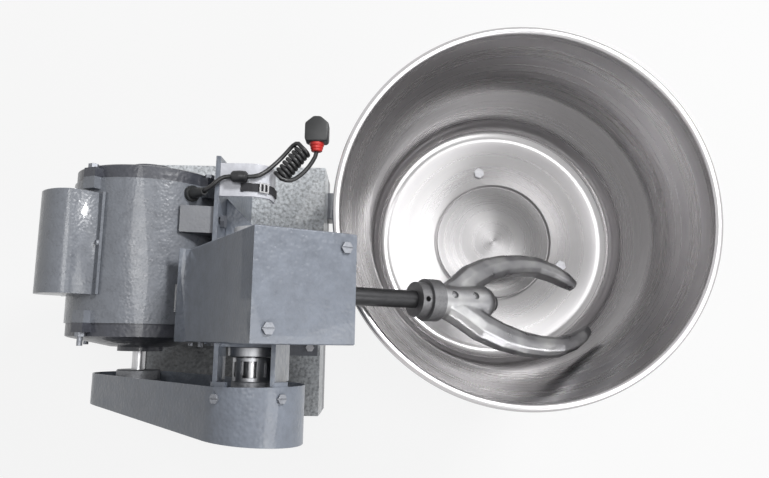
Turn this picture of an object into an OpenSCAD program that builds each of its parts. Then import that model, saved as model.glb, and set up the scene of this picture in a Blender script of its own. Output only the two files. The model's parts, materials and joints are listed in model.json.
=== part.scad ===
// Dough mixer with a driven kneading fork and a free turning bowl.
// The motor turns a cross shaft by a V belt, and a pinion on that shaft turns the
// inclined fork shaft by a crown wheel. Millimetres, +Z up, standing on its feet.

/* [Bowl] */
// Outer radius of the rolled rim
rim_r = 213; // [180:1:240]
// Depth of the bowl outside, from the top of the rim to its underside
bowl_depth = 235; // [215:1:250]
// Radius of the round bead at the rim
bead_r = 4.5; // [3:0.5:6]
// Thickness of the bowl's sheet
bowl_wall = 1.6; // [1:0.1:3]
// Radius of the wall where the flare starts
waist_r = 177; // [160:1:185]
// Depth at which the flare starts
waist_depth = 100; // [80:1:120]
// Radius of the flat floor of the bowl
floor_r = 146; // [120:1:155]
// Radius of the raised disc in the middle of the floor
disc_r = 80; // [60:1:95]
// Height of that raised disc
disc_rise = 1.6; // [0.8:0.2:3]
// Radius of the circle of bolts that hold the bowl
bolt_circle_r = 101; // [90:1:115]
// Number of those bolts
bowl_bolt_count = 3; // [3:1:6]

/* [Stand] */
// Height of the rubber feet
foot_h = 18; // [12:1:30]
// Size of the square tube of the stand
tube = 40; // [30:1:50]
// Wall of that tube
tube_wall = 3; // [2:0.5:4]
// Height from the stand to the top of the deck box
deck_h = 59; // [50:1:80]
// Sheet of the deck box
deck_wall = 3; // [2:0.5:5]
// Left edge of the deck box, from the bowl's axis
deck_left = -479; // [-500:1:-470]
// Right edge of the deck box
deck_right = -239; // [-245:1:-236]
// Front edge of the deck box
deck_front = -243; // [-260:1:-240]
// Back edge of the deck box
deck_back = 98; // [80:1:120]
// Distance of each long rail from the bowl's axis
rail_y = 75; // [65:1:90]
// Right end of the long rails
rail_end = 165; // [140:1:175]

/* [Turntable] */
// Radius of the disc that carries the bowl
table_r = 128; // [120:1:140]
// Thickness of that disc
table_t = 5; // [4:0.5:8]
// Radius of the spindle
spindle_r = 12.5; // [10:0.5:15]
// Outer radius of the spindle's bearings
spindle_brg_r = 26; // [24:0.5:28]
// Height of one of those bearings
spindle_brg_h = 15; // [12:1:16]

/* [Fork] */
// Slope of the fork shaft below the horizontal
pitch = 30; // [28:0.5:31]
// Distance of the fork shaft in front of the bowl's axis
fork_y = -97; // [-99:1:-94]
// Radius of the fork shaft
fork_shaft_r = 9.5; // [8:0.5:11]
// Start of the shaft collar, along the fork shaft
collar_s = 178; // [170:1:182]
// Length of the collar
collar_len = 28; // [20:1:32]
// Radius of the collar
collar_r = 23; // [18:0.5:25]
// Radius of the fork's hub
fork_hub_r = 19; // [17:0.5:22]
// Tip of the fork, along the fork shaft
fork_tip_s = 429; // [418:1:430]
// Reach of each prong from the shaft's axis, to the middle of the prong
prong_reach = 52; // [48:1:52]
// Turn of the fork about its shaft at rest
fork_turn = 20; // [0:1:90]

/* [Gears] */
// Tooth module
gear_m = 2.25; // [2:0.05:2.3]
// Teeth of the pinion
pinion_teeth = 12; // [11:1:13]
// Teeth of the crown wheel
crown_teeth = 33; // [30:1:33]
// Width of the gear teeth
tooth_w = 5.5; // [5:0.5:6]
// Play between the teeth, on each side
tooth_play = 0.5; // [0.4:0.05:0.7]

/* [Cross shaft] */
// Position of the cross shaft left of the bowl's axis
input_x = -277; // [-280:1:-274]
// Height of the cross shaft above the bowl's rim
input_rise = 80; // [78:1:84]
// Radius of the cross shaft
input_r = 8; // [7:0.25:8.5]
// Front end of the cross shaft
input_front = -217; // [-218:1:-215]
// Outer radius of the cross shaft's bearings
input_brg_r = 17.5; // [16:0.5:18]
// Width of one of those bearings
input_brg_w = 10; // [8:1:11]

/* [Gear housing] */
// Width of the cover across the shaft
cover_w = 98; // [96:1:104]
// Sheet of the cover
cover_wall = 1.5; // [1:0.1:2]
// Length of the cover behind the cross shaft, along the slope
cover_behind = 34; // [32:1:40]
// Length of the cover ahead of the cross shaft
cover_ahead = 61.5; // [58:0.5:66]
// Height of the cover above the cross shaft, square to the slope
cover_above = 85; // [80:1:90]
// Depth of the cover below the cross shaft
cover_below = 113; // [105:1:114]
// Thickness of the side plates
side_t = 4; // [3:0.5:4.5]
// Length of the fork shaft's bearing tube
brg_tube_len = 56; // [50:1:60]
// Outer radius of that tube
brg_tube_r = 24; // [23:0.5:25]
// Outer radius of the fork shaft's bearings
fork_brg_r = 20; // [18:0.5:21]
// Width of one of those bearings
fork_brg_w = 12; // [10:1:14]

/* [Motor] */
// Gap between the motor's shell and the plate that carries it
motor_gap = 9; // [7:0.5:12]
// Height of the motor's axis below the rim
motor_drop = 81; // [78:1:85]
// Radius of the motor's shell
motor_r = 83; // [78:0.5:85]
// Front end of the shell
shell_front = -128; // [-132:1:-125]
// Back end of the shell
shell_back = 29; // [25:1:32]
// Depth of each end bell's band
bell_band = 14; // [10:1:16]
// Depth of each end bell's cone
bell_cone = 16; // [12:1:18]
// Radius of the motor shaft
motor_shaft_r = 8; // [7:0.5:9]
// Turn of the tie bolts from the top
tie_turn = 25; // [15:1:35]
// Thickness of the plate that carries the motor
plate_t = 5; // [4:0.5:6]
// Left face of that plate
plate_x = -345; // [-347:0.5:-344]
// Angle of the capacitor cover from the top of the motor
cap_turn = 42; // [38:1:46]
// Length of the capacitor cover
cap_len = 110; // [100:1:115]
// Width of the capacitor cover
cap_w = 64; // [58:1:66]
// Height of the capacitor cover
cap_h = 38; // [34:1:42]

/* [Belt drive] */
// Outer radius of the motor's pulley
small_pulley_r = 25; // [23:0.5:27]
// Outer radius of the cross shaft's pulley
big_pulley_r = 43; // [40:0.5:44]
// Back face of both pulley rims
pulley_back = -190; // [-192:1:-189]
// Width of the pulley rims
pulley_w = 22; // [20:1:24]
// Width of the belt at its back
belt_w = 13; // [10:0.5:13]
// Thickness of the belt
belt_h = 8; // [6:0.5:9]
// Gap between the belt and its groove
belt_gap = 0.3; // [0.2:0.05:0.5]
// Radius of the guard's round ends
guard_r = 49; // [48:0.5:52]
// Inner edge of the guard
guard_back = -183; // [-185:1:-181]
// Depth of the guard at the cross shaft
guard_depth = 53; // [48:1:56]
// Slope of the guard's face towards the motor
guard_slope = 4.5; // [3:0.5:5]
// Sheet of the guard
guard_wall = 1.5; // [1:0.1:2]

/* [Fits] */
// Clearance of a running shaft in its bearing
run_gap = 0.05; // [0.02:0.01:0.1]
// Clearance of a bolt in its hole
bolt_gap = 0.3; // [0.2:0.1:0.5]
// Gap between parts that pass each other
pass_gap = 1; // [0.6:0.1:1.5]

/* [Lead] */
// Width of the holder that the lead is tied to
holder_w = 56; // [50:1:60]
// Outer radius of the holder's bend
holder_r = 24; // [18:1:25]
// Height of the holder
holder_h = 40; // [34:1:48]
// Radius of the lead
lead_r = 2.5; // [2:0.25:3]
// Outer radius of the wound part of the lead
wound_r = 10; // [8.5:0.5:10]
// Length of the wound part
wound_len = 46; // [36:1:47]
// Width of the plug
plug_w = 27; // [22:1:28]
// Length of the plug
plug_len = 30; // [26:1:32]
// Thickness of the plug
plug_t = 19; // [16:1:21]

/* [Hidden] */
$fn = 72;

// Heights
stand_z = foot_h + tube;
table_rise = 32;
table_z = stand_z + table_rise;
rim_z = table_z + table_t + bowl_depth;
deck_z = stand_z + deck_h;
input_z = rim_z + input_rise;
motor_z = rim_z - motor_drop;
floor_z = table_z + table_t;
motor_x = plate_x - motor_gap - motor_r;

// Origin: middle of the whole object seen from above, on the floor
cap_round = 0.62;
cap_shoulder = cap_h - cap_w / 2 * cap_round;
left_end = motor_x - (motor_r + cap_shoulder) * sin(cap_turn)
    - cap_w / 2 * norm([cos(cap_turn), cap_round * sin(cap_turn)]);
origin_x = (left_end + rim_r) / 2;
origin_y = (deck_front + rim_r) / 2;
module from_bowl() { translate([-origin_x, -origin_y, 0]) children(); }

// Frame of the slope: X along the fork shaft, Z square to it, from the cross shaft's centre
module on_slope() { translate([input_x, fork_y, input_z]) rotate([0, pitch, 0]) children(); }
module along_slope(s) { on_slope() translate([s, 0, 0]) rotate([0, 90, 0]) children(); }
function slope_point(s, h) = [
    input_x + s * cos(pitch) + h * sin(pitch),
    input_z - s * sin(pitch) + h * cos(pitch)
];

// Axes that run from front to back
module along_input(y) { translate([input_x, y, input_z]) rotate([-90, 0, 0]) children(); }
module along_motor(y) { translate([motor_x, y, motor_z]) rotate([-90, 0, 0]) children(); }

module box(low, high) { translate(low) cube(high - low); }
module ring(outer, inner, h) {
    difference() {
        cylinder(r = outer, h = h);
        translate([0, 0, -1]) cylinder(r = inner, h = h + 2);
    }
}
// A ball bearing drawn as its two rings with the shield between them
module bearing(outer, inner, w) {
    shield = (outer - inner) * 0.28;
    difference() {
        ring(outer, inner, w);
        translate([0, 0, -1]) ring(outer - shield, inner + shield, 1.8);
        translate([0, 0, w - 0.8]) ring(outer - shield, inner + shield, 1.8);
    }
}
// A hexagon bolt with its head up and its shank down
module bolt(r, head_h, shank) {
    cylinder(r = r * 1.9, h = head_h, $fn = 6);
    translate([0, 0, -shank]) cylinder(r = r, h = shank + 0.01, $fn = 32);
}

// Stand
foot_r = 18;
cross_reach = 130;
feet = [
    [deck_left + tube / 2, deck_front + tube / 2],
    [deck_left + tube / 2, deck_back - tube / 2],
    [rail_end - tube / 2, -cross_reach + tube / 2],
    [rail_end - tube / 2, cross_reach - tube / 2],
    [deck_right - tube / 2, deck_front + tube / 2]
];
module rubber_feet() {
    color("#222222") from_bowl()
    for (p = feet) translate([p[0], p[1], 0]) difference() {
        rotate_extrude() polygon([[0, 0], [foot_r - 2, 0], [foot_r, 2], [foot_r - 3, foot_h], [0, foot_h]]);
        translate([0, 0, -1]) cylinder(r = 8, h = 5);
    }
}
module square_tube(len) {
    difference() {
        cube([len, tube, tube]);
        translate([-1, tube_wall, tube_wall]) cube([len + 2, tube - 2 * tube_wall, tube - 2 * tube_wall]);
    }
}
module base_rails() {
    color("#5d666d") from_bowl()
    for (y = [-rail_y, rail_y - tube])
        translate([deck_left + tube, y, foot_h]) square_tube(rail_end - tube - deck_left - tube);
}
module cross_tube(x, y0, y1) {
    translate([x + tube, y0, foot_h]) rotate([0, 0, 90]) square_tube(y1 - y0);
}
module cross_tubes() {
    color("#5d666d") from_bowl() {
        cross_tube(deck_left, deck_front, deck_back);
        cross_tube(rail_end - tube, -cross_reach, cross_reach);
        cross_tube(deck_right - tube, deck_front, -rail_y);
        cross_tube(deck_right - tube, rail_y, deck_back);
        cross_tube(deck_right - tube, -rail_y + tube, rail_y - tube);
    }
}

// Spindle under the bowl
hub_plate_t = 6;
housing_r = spindle_brg_r + 6;
housing_low = foot_h + 4;
housing_top = table_z - 8;
hub_bolt_r = housing_r + 9;
hub_plate_half = hub_bolt_r + 19;
module hub_bolt_places() {
    for (a = [45:90:315]) rotate(a) translate([hub_bolt_r, 0, 0]) children();
}
module hub_plate() {
    color("#5d666d") from_bowl() translate([0, 0, stand_z]) difference() {
        box([-hub_plate_half, -rail_y, 0], [hub_plate_half, rail_y, hub_plate_t]);
        translate([0, 0, -1]) cylinder(r = housing_r + bolt_gap, h = hub_plate_t + 2);
        hub_bolt_places() translate([0, 0, -1]) cylinder(r = 4 + bolt_gap, h = hub_plate_t + 2);
    }
}
module spindle_housing() {
    brg_low = housing_low + 5;
    brg_high = housing_top - spindle_brg_h - 3;
    color("#6b747a") from_bowl() difference() {
        union() {
            translate([0, 0, housing_low]) cylinder(r = housing_r, h = housing_top - housing_low);
            translate([0, 0, stand_z + hub_plate_t]) cylinder(r = hub_bolt_r + 9, h = 7);
        }
        translate([0, 0, housing_low - 1]) cylinder(r = spindle_r + 3, h = housing_top - housing_low + 2);
        translate([0, 0, housing_low - 1]) cylinder(r = spindle_brg_r, h = 1 + brg_low - housing_low + spindle_brg_h);
        translate([0, 0, brg_high]) cylinder(r = spindle_brg_r, h = housing_top - brg_high + 1);
        translate([0, 0, stand_z]) hub_bolt_places() cylinder(r = 4 + bolt_gap, h = 30);
    }
}
module hub_bolts() {
    color("#7f878c") from_bowl() translate([0, 0, stand_z + hub_plate_t + 7]) hub_bolt_places()
        bolt(4, 5, hub_plate_t + 9);
}
module spindle_bearings() {
    color("#c8ccd0") from_bowl() {
        translate([0, 0, housing_low + 5]) bearing(spindle_brg_r, spindle_r + run_gap, spindle_brg_h);
        translate([0, 0, housing_top - spindle_brg_h - 3])
            bearing(spindle_brg_r, spindle_r + run_gap, spindle_brg_h);
    }
}
module spindle() {
    color("#9aa0a5") from_bowl() {
        translate([0, 0, housing_low + 1]) cylinder(r = spindle_r, h = table_z - housing_low - 1);
        translate([0, 0, table_z - 6]) cylinder(r = 45, h = 6);
    }
}
module bowl_bolt_places() {
    for (i = [0:bowl_bolt_count - 1])
        rotate(101 + i * 360 / bowl_bolt_count) translate([bolt_circle_r, 0, 0]) children();
}
module turntable() {
    color("#868e94") from_bowl() translate([0, 0, table_z]) difference() {
        cylinder(r = table_r, h = table_t);
        bowl_bolt_places() translate([0, 0, -1]) cylinder(r = 4 + bolt_gap, h = table_t + 2);
    }
}
// Outline of the bowl's half section, moved inwards by t
corner_h = 32;
corner_w = waist_r - 5 - floor_r;
function corner_point(a, t) =
    let (n = norm([corner_w * cos(a), corner_h * sin(a)])) [
        floor_r + corner_w * sin(a) - t * corner_h * sin(a) / n,
        corner_h * (1 - cos(a)) + t * corner_w * cos(a) / n
    ];
module bowl_outline(t) {
    polygon(concat(
        [[0, t]],
        [for (a = [0:15:90]) corner_point(a, t)],
        [
            [waist_r - t, bowl_depth - waist_depth],
            [rim_r - bead_r - t, bowl_depth - bead_r],
            [0, bowl_depth - bead_r]
        ]
    ));
}
module bowl() {
    color("#cfd3d6") from_bowl() translate([0, 0, floor_z]) difference() {
        union() {
            rotate_extrude($fn = 120) difference() {
                bowl_outline(0);
                bowl_outline(bowl_wall);
            }
            rotate_extrude($fn = 120) translate([rim_r - bead_r, bowl_depth - bead_r]) circle(r = bead_r, $fn = 24);
            translate([0, 0, bowl_wall]) cylinder(r = disc_r, h = disc_rise);
        }
        bowl_bolt_places() translate([0, 0, -1]) cylinder(r = 4 + bolt_gap, h = bowl_wall + 3);
    }
}
module bowl_bolts() {
    color("#8d9499") from_bowl() bowl_bolt_places() {
        translate([0, 0, floor_z + bowl_wall]) bolt(4, 4, bowl_wall + table_t + 9);
        translate([0, 0, table_z - 6.5]) ring(7.6, 4, 6.5);
    }
}

// Deck box of the stand
pad_t = 6;
module deck_bolt_places() {
    for (x = [plate_x - 34], y = [-125, -58, 9]) translate([x, y, deck_z + plate_t]) children();
    for (x = [col_left + 14, deck_right - 13], y = [front_y - 9, back_y + 9])
        translate([x, y, deck_z + pad_t]) children();
}
module deck_box() {
    color("#8b949b") from_bowl() difference() {
        box([deck_left, deck_front, stand_z], [deck_right, deck_back, deck_z]);
        box(
            [deck_left + deck_wall, deck_front + deck_wall, stand_z - 1],
            [deck_right - deck_wall, deck_back - deck_wall, deck_z - deck_wall]
        );
        deck_bolt_places() translate([0, 0, -20]) cylinder(r = 3 + bolt_gap, h = 30, $fn = 32);
    }
}
module deck_bolts() {
    color("#7f878c") from_bowl() deck_bolt_places() {
        bolt(3, 4, 14);
    }
}

// Gear frame: two side plates on a foot, a sloping cross plate and two cover tabs
in_gap = cover_wall + pass_gap;
side_out = cover_w / 2 - in_gap;
side_in = side_out - side_t;
front_y = fork_y - side_out;
back_y = fork_y + side_out;
col_left = plate_x + plate_t;
side_back_s = in_gap - cover_behind;
side_ahead_s = cover_ahead - in_gap;
side_top_h = cover_above - in_gap;
col_corner = slope_point(side_ahead_s, -75);
col_right = col_corner[0];
left_h = (col_left - input_x - side_back_s * cos(pitch)) / sin(pitch);
cross_s = cover_ahead - 22;
cross_t = 6;
tab_t = 3;
spigot_r = input_brg_r + 2;
cover_screw_places = [[-19, -36], [51, 36]];
module side_plate(y) {
    translate([0, y + side_t, 0]) rotate([90, 0, 0]) linear_extrude(side_t) polygon([
        [col_left, deck_z + pad_t],
        [col_right, deck_z + pad_t],
        col_corner,
        slope_point(side_ahead_s, side_top_h),
        slope_point(side_back_s, side_top_h),
        slope_point(side_back_s, left_h)
    ]);
}
module gear_frame() {
    color("#7c858c") from_bowl() difference() {
        union() {
            side_plate(front_y);
            side_plate(back_y - side_t);
            box([col_left, front_y - 20, deck_z], [deck_right - 3, back_y + 20, deck_z + pad_t]);
            on_slope() box([cross_s, -side_in, -56], [cross_s + cross_t, side_in, 56]);
            on_slope() for (p = cover_screw_places)
                box(
                    [p[0] - 8, p[1] > 0 ? p[1] - 8 : -side_in, cover_above - cover_wall - tab_t],
                    [p[0] + 8, p[1] > 0 ? side_in : p[1] + 8, cover_above - cover_wall]
                );
        }
        for (y = [front_y, back_y - side_t]) along_input(y - 1) cylinder(r = spigot_r, h = side_t + 2);
        along_slope(cross_s - 1) cylinder(r = brg_tube_r, h = cross_t + 2);
        along_slope(cross_s - 1) tube_bolt_places() cylinder(r = 3 + bolt_gap, h = cross_t + 2, $fn = 32);
        on_slope() for (p = cover_screw_places) translate([p[0], p[1], cover_above - 10])
            cylinder(r = 3 + bolt_gap, h = 20, $fn = 32);
        deck_bolt_places() translate([0, 0, -20]) cylinder(r = 3 + bolt_gap, h = 30, $fn = 32);
    }
}
tube_s = cross_s - 2;
tube_flange_t = 6;
module tube_bolt_places() {
    for (a = [45:90:315]) rotate(a) translate([brg_tube_r + 7, 0, 0]) children();
}
module tube_bolts() {
    color("#7f878c") from_bowl() along_slope(cross_s + cross_t + tube_flange_t) tube_bolt_places()
        bolt(3, 4, cross_t + tube_flange_t + 3);
}
module fork_bearing_tube() {
    color("#6f787e") from_bowl() along_slope(tube_s) difference() {
        union() {
            cylinder(r = brg_tube_r, h = brg_tube_len);
            translate([0, 0, 2 + cross_t]) cylinder(r = brg_tube_r + 12, h = tube_flange_t);
        }
        translate([0, 0, -1]) cylinder(r = fork_brg_r - 2.5, h = brg_tube_len + 2);
        translate([0, 0, -1]) cylinder(r = fork_brg_r, h = fork_brg_w + 2);
        translate([0, 0, brg_tube_len - fork_brg_w - 1]) cylinder(r = fork_brg_r, h = fork_brg_w + 2);
        tube_bolt_places() cylinder(r = 3 + bolt_gap, h = 30, $fn = 32);
    }
}
module fork_bearings() {
    color("#c8ccd0") from_bowl() along_slope(tube_s) {
        translate([0, 0, 1]) bearing(fork_brg_r, fork_shaft_r + run_gap, fork_brg_w);
        translate([0, 0, brg_tube_len - fork_brg_w - 1])
            bearing(fork_brg_r, fork_shaft_r + run_gap, fork_brg_w);
    }
}

// Sheet cover of the gears, open below
lip = 12;
ahead_drop = 46;
module gear_cover() {
    half = cover_w / 2;
    w = cover_wall;
    color("#9aa3aa") from_bowl() on_slope() difference() {
        union() {
            box([-cover_behind, -half, -cover_below], [cover_ahead, half, cover_above]);
            box([-cover_behind - lip, -half, -cover_below], [-cover_behind + 0.1, half, w - cover_below]);
        }
        box([w - cover_behind, w - half, -cover_below - 1], [cover_ahead - w, half - w, cover_above - w]);
        // Open end below the fork shaft
        box([cover_ahead - w - 1, w - half, -cover_below - 1], [cover_ahead + 1, half - w, -ahead_drop]);
        // Slots that let the cover lift off over both shafts
        translate([cover_ahead - w - 1, 0, 0]) rotate([0, 90, 0]) cylinder(r = brg_tube_r + 2, h = w + 2);
        box([cover_ahead - w - 1, -brg_tube_r - 2, -ahead_drop - 1], [cover_ahead + 1, brg_tube_r + 2, 0]);
        for (y = [-half - 1, half - w - 1]) {
            translate([0, y, 0]) rotate([-90, 0, 0]) cylinder(r = spigot_r + 1, h = w + 2);
            box([-spigot_r - 1, y, -cover_below - 1], [spigot_r + 1, y + w + 2, 0]);
        }
        for (p = cover_screw_places) translate([p[0], p[1], cover_above - 10])
            cylinder(r = 3 + bolt_gap, h = 20, $fn = 32);
    }
}
module cover_screws() {
    color("#b9bfc4") from_bowl() on_slope() for (p = cover_screw_places)
        translate([p[0], p[1], cover_above]) difference() {
            bolt(3, 3, 9);
            translate([-7, -0.6, 1.8]) cube([14, 1.2, 3]);
        }
}

// Bearings of the cross shaft
flange_t = 9;
bracket_t = 3;
flange_y = fork_y - cover_w / 2 - bracket_t;
rear_flange_y = fork_y + cover_w / 2 + pass_gap;
module front_bearing_housing() {
    low = flange_y - flange_t;
    color("#8f989e") from_bowl() difference() {
        union() {
            along_input(low) cylinder(r = input_brg_r + 5, h = flange_t);
            along_input(flange_y - 0.1) cylinder(r = spigot_r, h = front_y + side_t - flange_y + 0.1);
        }
        along_input(low - 1) cylinder(r = input_r + 2.5, h = 60);
        along_input(low + 2) cylinder(r = input_brg_r, h = 60);
    }
}
// The rear housing is closed at its back
module rear_bearing_housing() {
    low = back_y - side_t;
    color("#8f989e") from_bowl() difference() {
        union() {
            along_input(low) cylinder(r = spigot_r, h = rear_flange_y - low + 0.1);
            along_input(rear_flange_y) cylinder(r = input_brg_r + 5, h = flange_t);
        }
        along_input(low - 1) cylinder(r = input_brg_r, h = rear_flange_y + flange_t - 2 - low + 1);
    }
}
front_brg_y = flange_y - flange_t + 2;
rear_brg_y = rear_flange_y + flange_t - 2 - input_brg_w;
input_back = rear_brg_y + input_brg_w - 0.5;
module input_bearings() {
    color("#c8ccd0") from_bowl()
    for (y = [front_brg_y, rear_brg_y])
        along_input(y) bearing(input_brg_r, input_r + run_gap, input_brg_w);
}

// Cross shaft and its gears
pinion_r = gear_m * pinion_teeth / 2;
crown_r = gear_m * crown_teeth / 2;
pinion_y = fork_y + crown_r - tooth_w / 2;
pinion_hub_len = 10;
pinion_end = 0.6;
module input_shaft() {
    color("#a9afb4") from_bowl() along_input(input_front) {
        cylinder(r = input_r, h = input_back - input_front);
    }
}
module pinion() {
    root = pinion_r - 1.25 * gear_m;
    tooth_rise = 0.9 * gear_m;
    tip_half = 0.3 * gear_m;
    half = PI * gear_m / 4;
    color("#8a9094") from_bowl() along_input(pinion_y) difference() {
        union() {
            // The hub stands a little proud of the teeth at its far end too
            translate([0, 0, -pinion_hub_len]) cylinder(r = root, h = pinion_hub_len + tooth_w + pinion_end);
            // One tooth points down the slope, into the crown wheel's gap
            for (i = [0:pinion_teeth - 1]) rotate(i * 360 / pinion_teeth + pitch) linear_extrude(tooth_w)
                polygon([
                    [root - 0.8, -half],
                    [pinion_r, -half],
                    [pinion_r + tooth_rise, -tip_half],
                    [pinion_r + tooth_rise, tip_half],
                    [pinion_r, half],
                    [root - 0.8, half]
                ]);
        }
        translate([0, 0, -pinion_hub_len - 1]) cylinder(r = input_r + run_gap, h = pinion_hub_len + tooth_w + 2);
    }
}
crown_back_s = pinion_r + 1.25 * gear_m + 8.5;
crown_hub_s = cross_s - 3.5;
module crown_wheel() {
    half = PI * gear_m / 4 + tooth_play;
    lean = tan(20);
    tip_s = pinion_r - gear_m;
    root_s = pinion_r + 1.25 * gear_m;
    inner = crown_r - tooth_w / 2;
    color("#8a9094") from_bowl() difference() {
        union() {
            along_slope(tip_s) cylinder(r = inner + tooth_w, h = crown_back_s - tip_s);
            along_slope(crown_back_s - 0.1) cylinder(r = 17, h = crown_hub_s - crown_back_s + 0.1);
        }
        along_slope(tip_s - 1) cylinder(r = inner, h = 1 + root_s - tip_s);
        along_slope(tip_s - 1) cylinder(r = fork_shaft_r + run_gap, h = crown_hub_s + 10);
        along_slope(0) for (i = [0:crown_teeth - 1]) rotate(90 + i * 360 / crown_teeth)
            translate([inner - 1, 0, 0]) rotate([90, 0, 90]) linear_extrude(tooth_w + 2) polygon([
                [-half + lean * 1.25 * gear_m, root_s],
                [half - lean * 1.25 * gear_m, root_s],
                [half + lean * 1.3 * gear_m, tip_s - 0.3 * gear_m],
                // The cutter's top is peaked, clear of the wheel
                [0, tip_s - gear_m],
                [-half - lean * 1.3 * gear_m, tip_s - 0.3 * gear_m]
            ]);
    }
}

// Fork shaft and fork
shaft_start_s = pinion_r + 1.25 * gear_m + 0.5;
shaft_end_s = collar_s + collar_len + 80;
hub_start_s = collar_s + collar_len;
module fork_shaft() {
    color("#3f4448") from_bowl() along_slope(shaft_start_s)
        cylinder(r = fork_shaft_r, h = shaft_end_s - shaft_start_s);
}
module shaft_collar() {
    color("#6f7376") from_bowl() along_slope(collar_s) difference() {
        union() {
            cylinder(r = collar_r - 4, h = collar_len - 16);
            translate([0, 0, collar_len - 16]) cylinder(r = collar_r, h = 16);
        }
        translate([0, 0, -1]) cylinder(r = fork_shaft_r + run_gap, h = collar_len + 2);
        translate([0, 0, 6]) rotate([0, -90, 0]) cylinder(r = 3, h = 40, $fn = 32);
    }
}
// Middle of a prong: place along the fork, distance from the axis, half width, half thickness
fork_len = fork_tip_s - hub_start_s;
prong = [
    [0.06, 0.1, 13, 16],
    [0.14, 0.26, 15, 15.5],
    [0.24, 0.55, 16, 15],
    [0.36, 0.78, 15, 14.5],
    [0.49, 0.93, 13.5, 14],
    [0.61, 1, 12.5, 13.5],
    [0.73, 1, 11.5, 13],
    [0.84, 0.88, 10.5, 12],
    [0.93, 0.71, 9, 10.5],
    [0.985, 0.57, 6.5, 7.5]
];
prong_turns = [for (i = [0:len(prong) - 1])
    let (a = prong[max(i - 1, 0)], b = prong[min(i + 1, len(prong) - 1)])
    atan2((b[1] - a[1]) * prong_reach, (b[0] - a[0]) * fork_len)
];
// Section of a prong: a flat back, rounded edges and a ridge on the outside
prong_section = [
    [1, -0.35], [1, 0.35], [0.72, 0.85], [0.1, 1], [-0.55, 0.92], [-0.95, 0.5],
    [-0.95, -0.5], [-0.55, -0.92], [0.1, -1], [0.72, -0.85]
];
module prong_body() {
    n = len(prong);
    m = len(prong_section);
    points = [for (i = [0:n - 1]) for (q = prong_section)
        let (p = prong[i], a = prong_turns[i], w = q[0] * p[2], t = q[1] * p[3])
        [p[0] * fork_len - w * sin(a), p[1] * prong_reach + w * cos(a), t]
    ];
    faces = concat(
        [[for (j = [0:m - 1]) j]],
        [for (i = [0:n - 2]) for (j = [0:m - 1])
            [i * m + j, (i + 1) * m + j, (i + 1) * m + (j + 1) % m, i * m + (j + 1) % m]],
        [[for (j = [m - 1:-1:0]) (n - 1) * m + j]]
    );
    polyhedron(points = points, faces = faces, convexity = 6);
}
fork_screw_s = [14, 42];
module fork() {
    color("#b4b8bb") from_bowl() on_slope() translate([hub_start_s, 0, 0]) rotate([-fork_turn, 0, 0])
    difference() {
        union() {
            rotate([0, 90, 0]) cylinder(r = fork_hub_r, h = 60);
            translate([60, 0, 0]) sphere(r = fork_hub_r);
            prong_body();
            mirror([0, 1, 0]) prong_body();
        }
        translate([-1, 0, 0]) rotate([0, 90, 0]) cylinder(r = fork_shaft_r + run_gap, h = 100);
        for (s = fork_screw_s) translate([s, 0, 0]) cylinder(r = 4 + bolt_gap / 3, h = 40, $fn = 32);
    }
}
module fork_screws() {
    color("#2f3234") from_bowl() on_slope() translate([hub_start_s, 0, 0]) rotate([-fork_turn, 0, 0])
    for (s = fork_screw_s) translate([s, 0, fork_shaft_r]) difference() {
        cylinder(r = 4, h = 7, $fn = 32);
        translate([0, 0, 4]) cylinder(r = 2.2, h = 4, $fn = 6);
    }
}

// Plate that carries the motor, with its foot bent under the motor
plate_front = -150;
plate_back = 60;
plate_top = rim_z - 18;
cradle_z_off = 46;
cradle_z = [motor_z - cradle_z_off, motor_z + cradle_z_off];
cradle_y = [-100, -12];
cradle_x = motor_x + motor_r * 0.675;
cradle_half = motor_r * 0.8;
module motor_plate() {
    color("#9aa3aa") from_bowl() difference() {
        union() {
            box([plate_x, plate_front, deck_z], [plate_x + plate_t, plate_back, plate_top]);
            box([plate_x - 50, plate_front, deck_z], [plate_x + 0.1, plate_back, deck_z + plate_t]);
        }
        for (z = cradle_z, y = cradle_y) translate([plate_x - 1, y, z]) rotate([0, 90, 0]) {
            // Upright slots, so that the motor slides to tighten the belt
            translate([-8, 0, 0]) cylinder(r = 4 + bolt_gap, h = plate_t + 2, $fn = 32);
            translate([8, 0, 0]) cylinder(r = 4 + bolt_gap, h = plate_t + 2, $fn = 32);
            translate([-8, -4 - bolt_gap, 0]) cube([16, 8 + 2 * bolt_gap, plate_t + 2]);
        }
        deck_bolt_places() translate([0, 0, -20]) cylinder(r = 3 + bolt_gap, h = 30, $fn = 32);
    }
}
gusset_z = plate_top - 44;
gusset_back = 20;
module plate_gusset() {
    color("#a9b1b7") from_bowl() translate([0, 0, gusset_z]) linear_extrude(plate_t)
        polygon([[col_left, back_y], [col_left, gusset_back], [col_left + gusset_back - back_y, back_y]]);
}
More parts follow.
